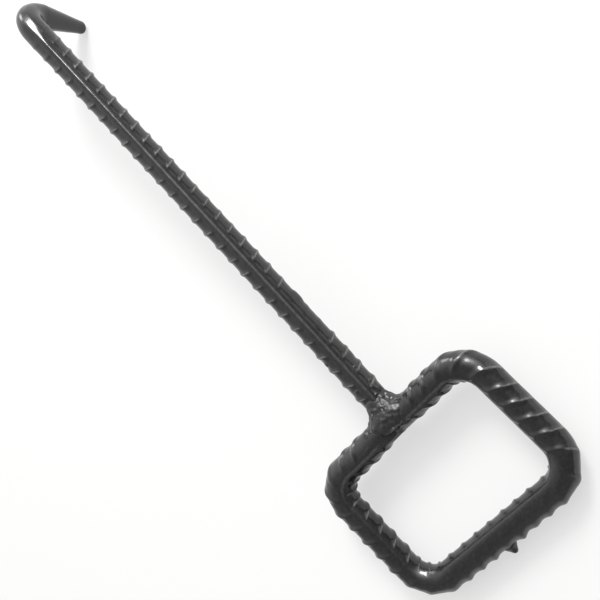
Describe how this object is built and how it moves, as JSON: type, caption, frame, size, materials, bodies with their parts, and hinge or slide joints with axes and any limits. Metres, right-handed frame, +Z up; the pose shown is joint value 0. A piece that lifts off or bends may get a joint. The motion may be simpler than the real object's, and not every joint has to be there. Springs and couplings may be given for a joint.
{
  "type": "manhole cover lifter",
  "caption": "Hand lifter for manhole covers: a straight ribbed steel bar with a bent hook at one end and a welded rectangular hand loop at the other, painted gloss black.",
  "frame": {"origin": "on the floor under the middle of the part's box, as it lies on its grip and its hook point", "axes": "+X from the handle to the hook, +Y across the handle, +Z up"},
  "size_m": [0.4463, 0.1376, 0.0593],
  "materials": {
    "black_enamel": "gloss",
    "painted_weld": "gloss"
  },
  "bodies": {
    "root": {"shank_bar": "black_enamel", "handle_bar": "black_enamel", "paint_drip": "black_enamel", "closing_weld": "painted_weld", "upper_weld_run": "painted_weld", "lower_weld_run": "painted_weld", "front_fillet_weld": "painted_weld", "back_fillet_weld": "painted_weld", "weld_spatter": "painted_weld"}
  },
  "joints": []
}
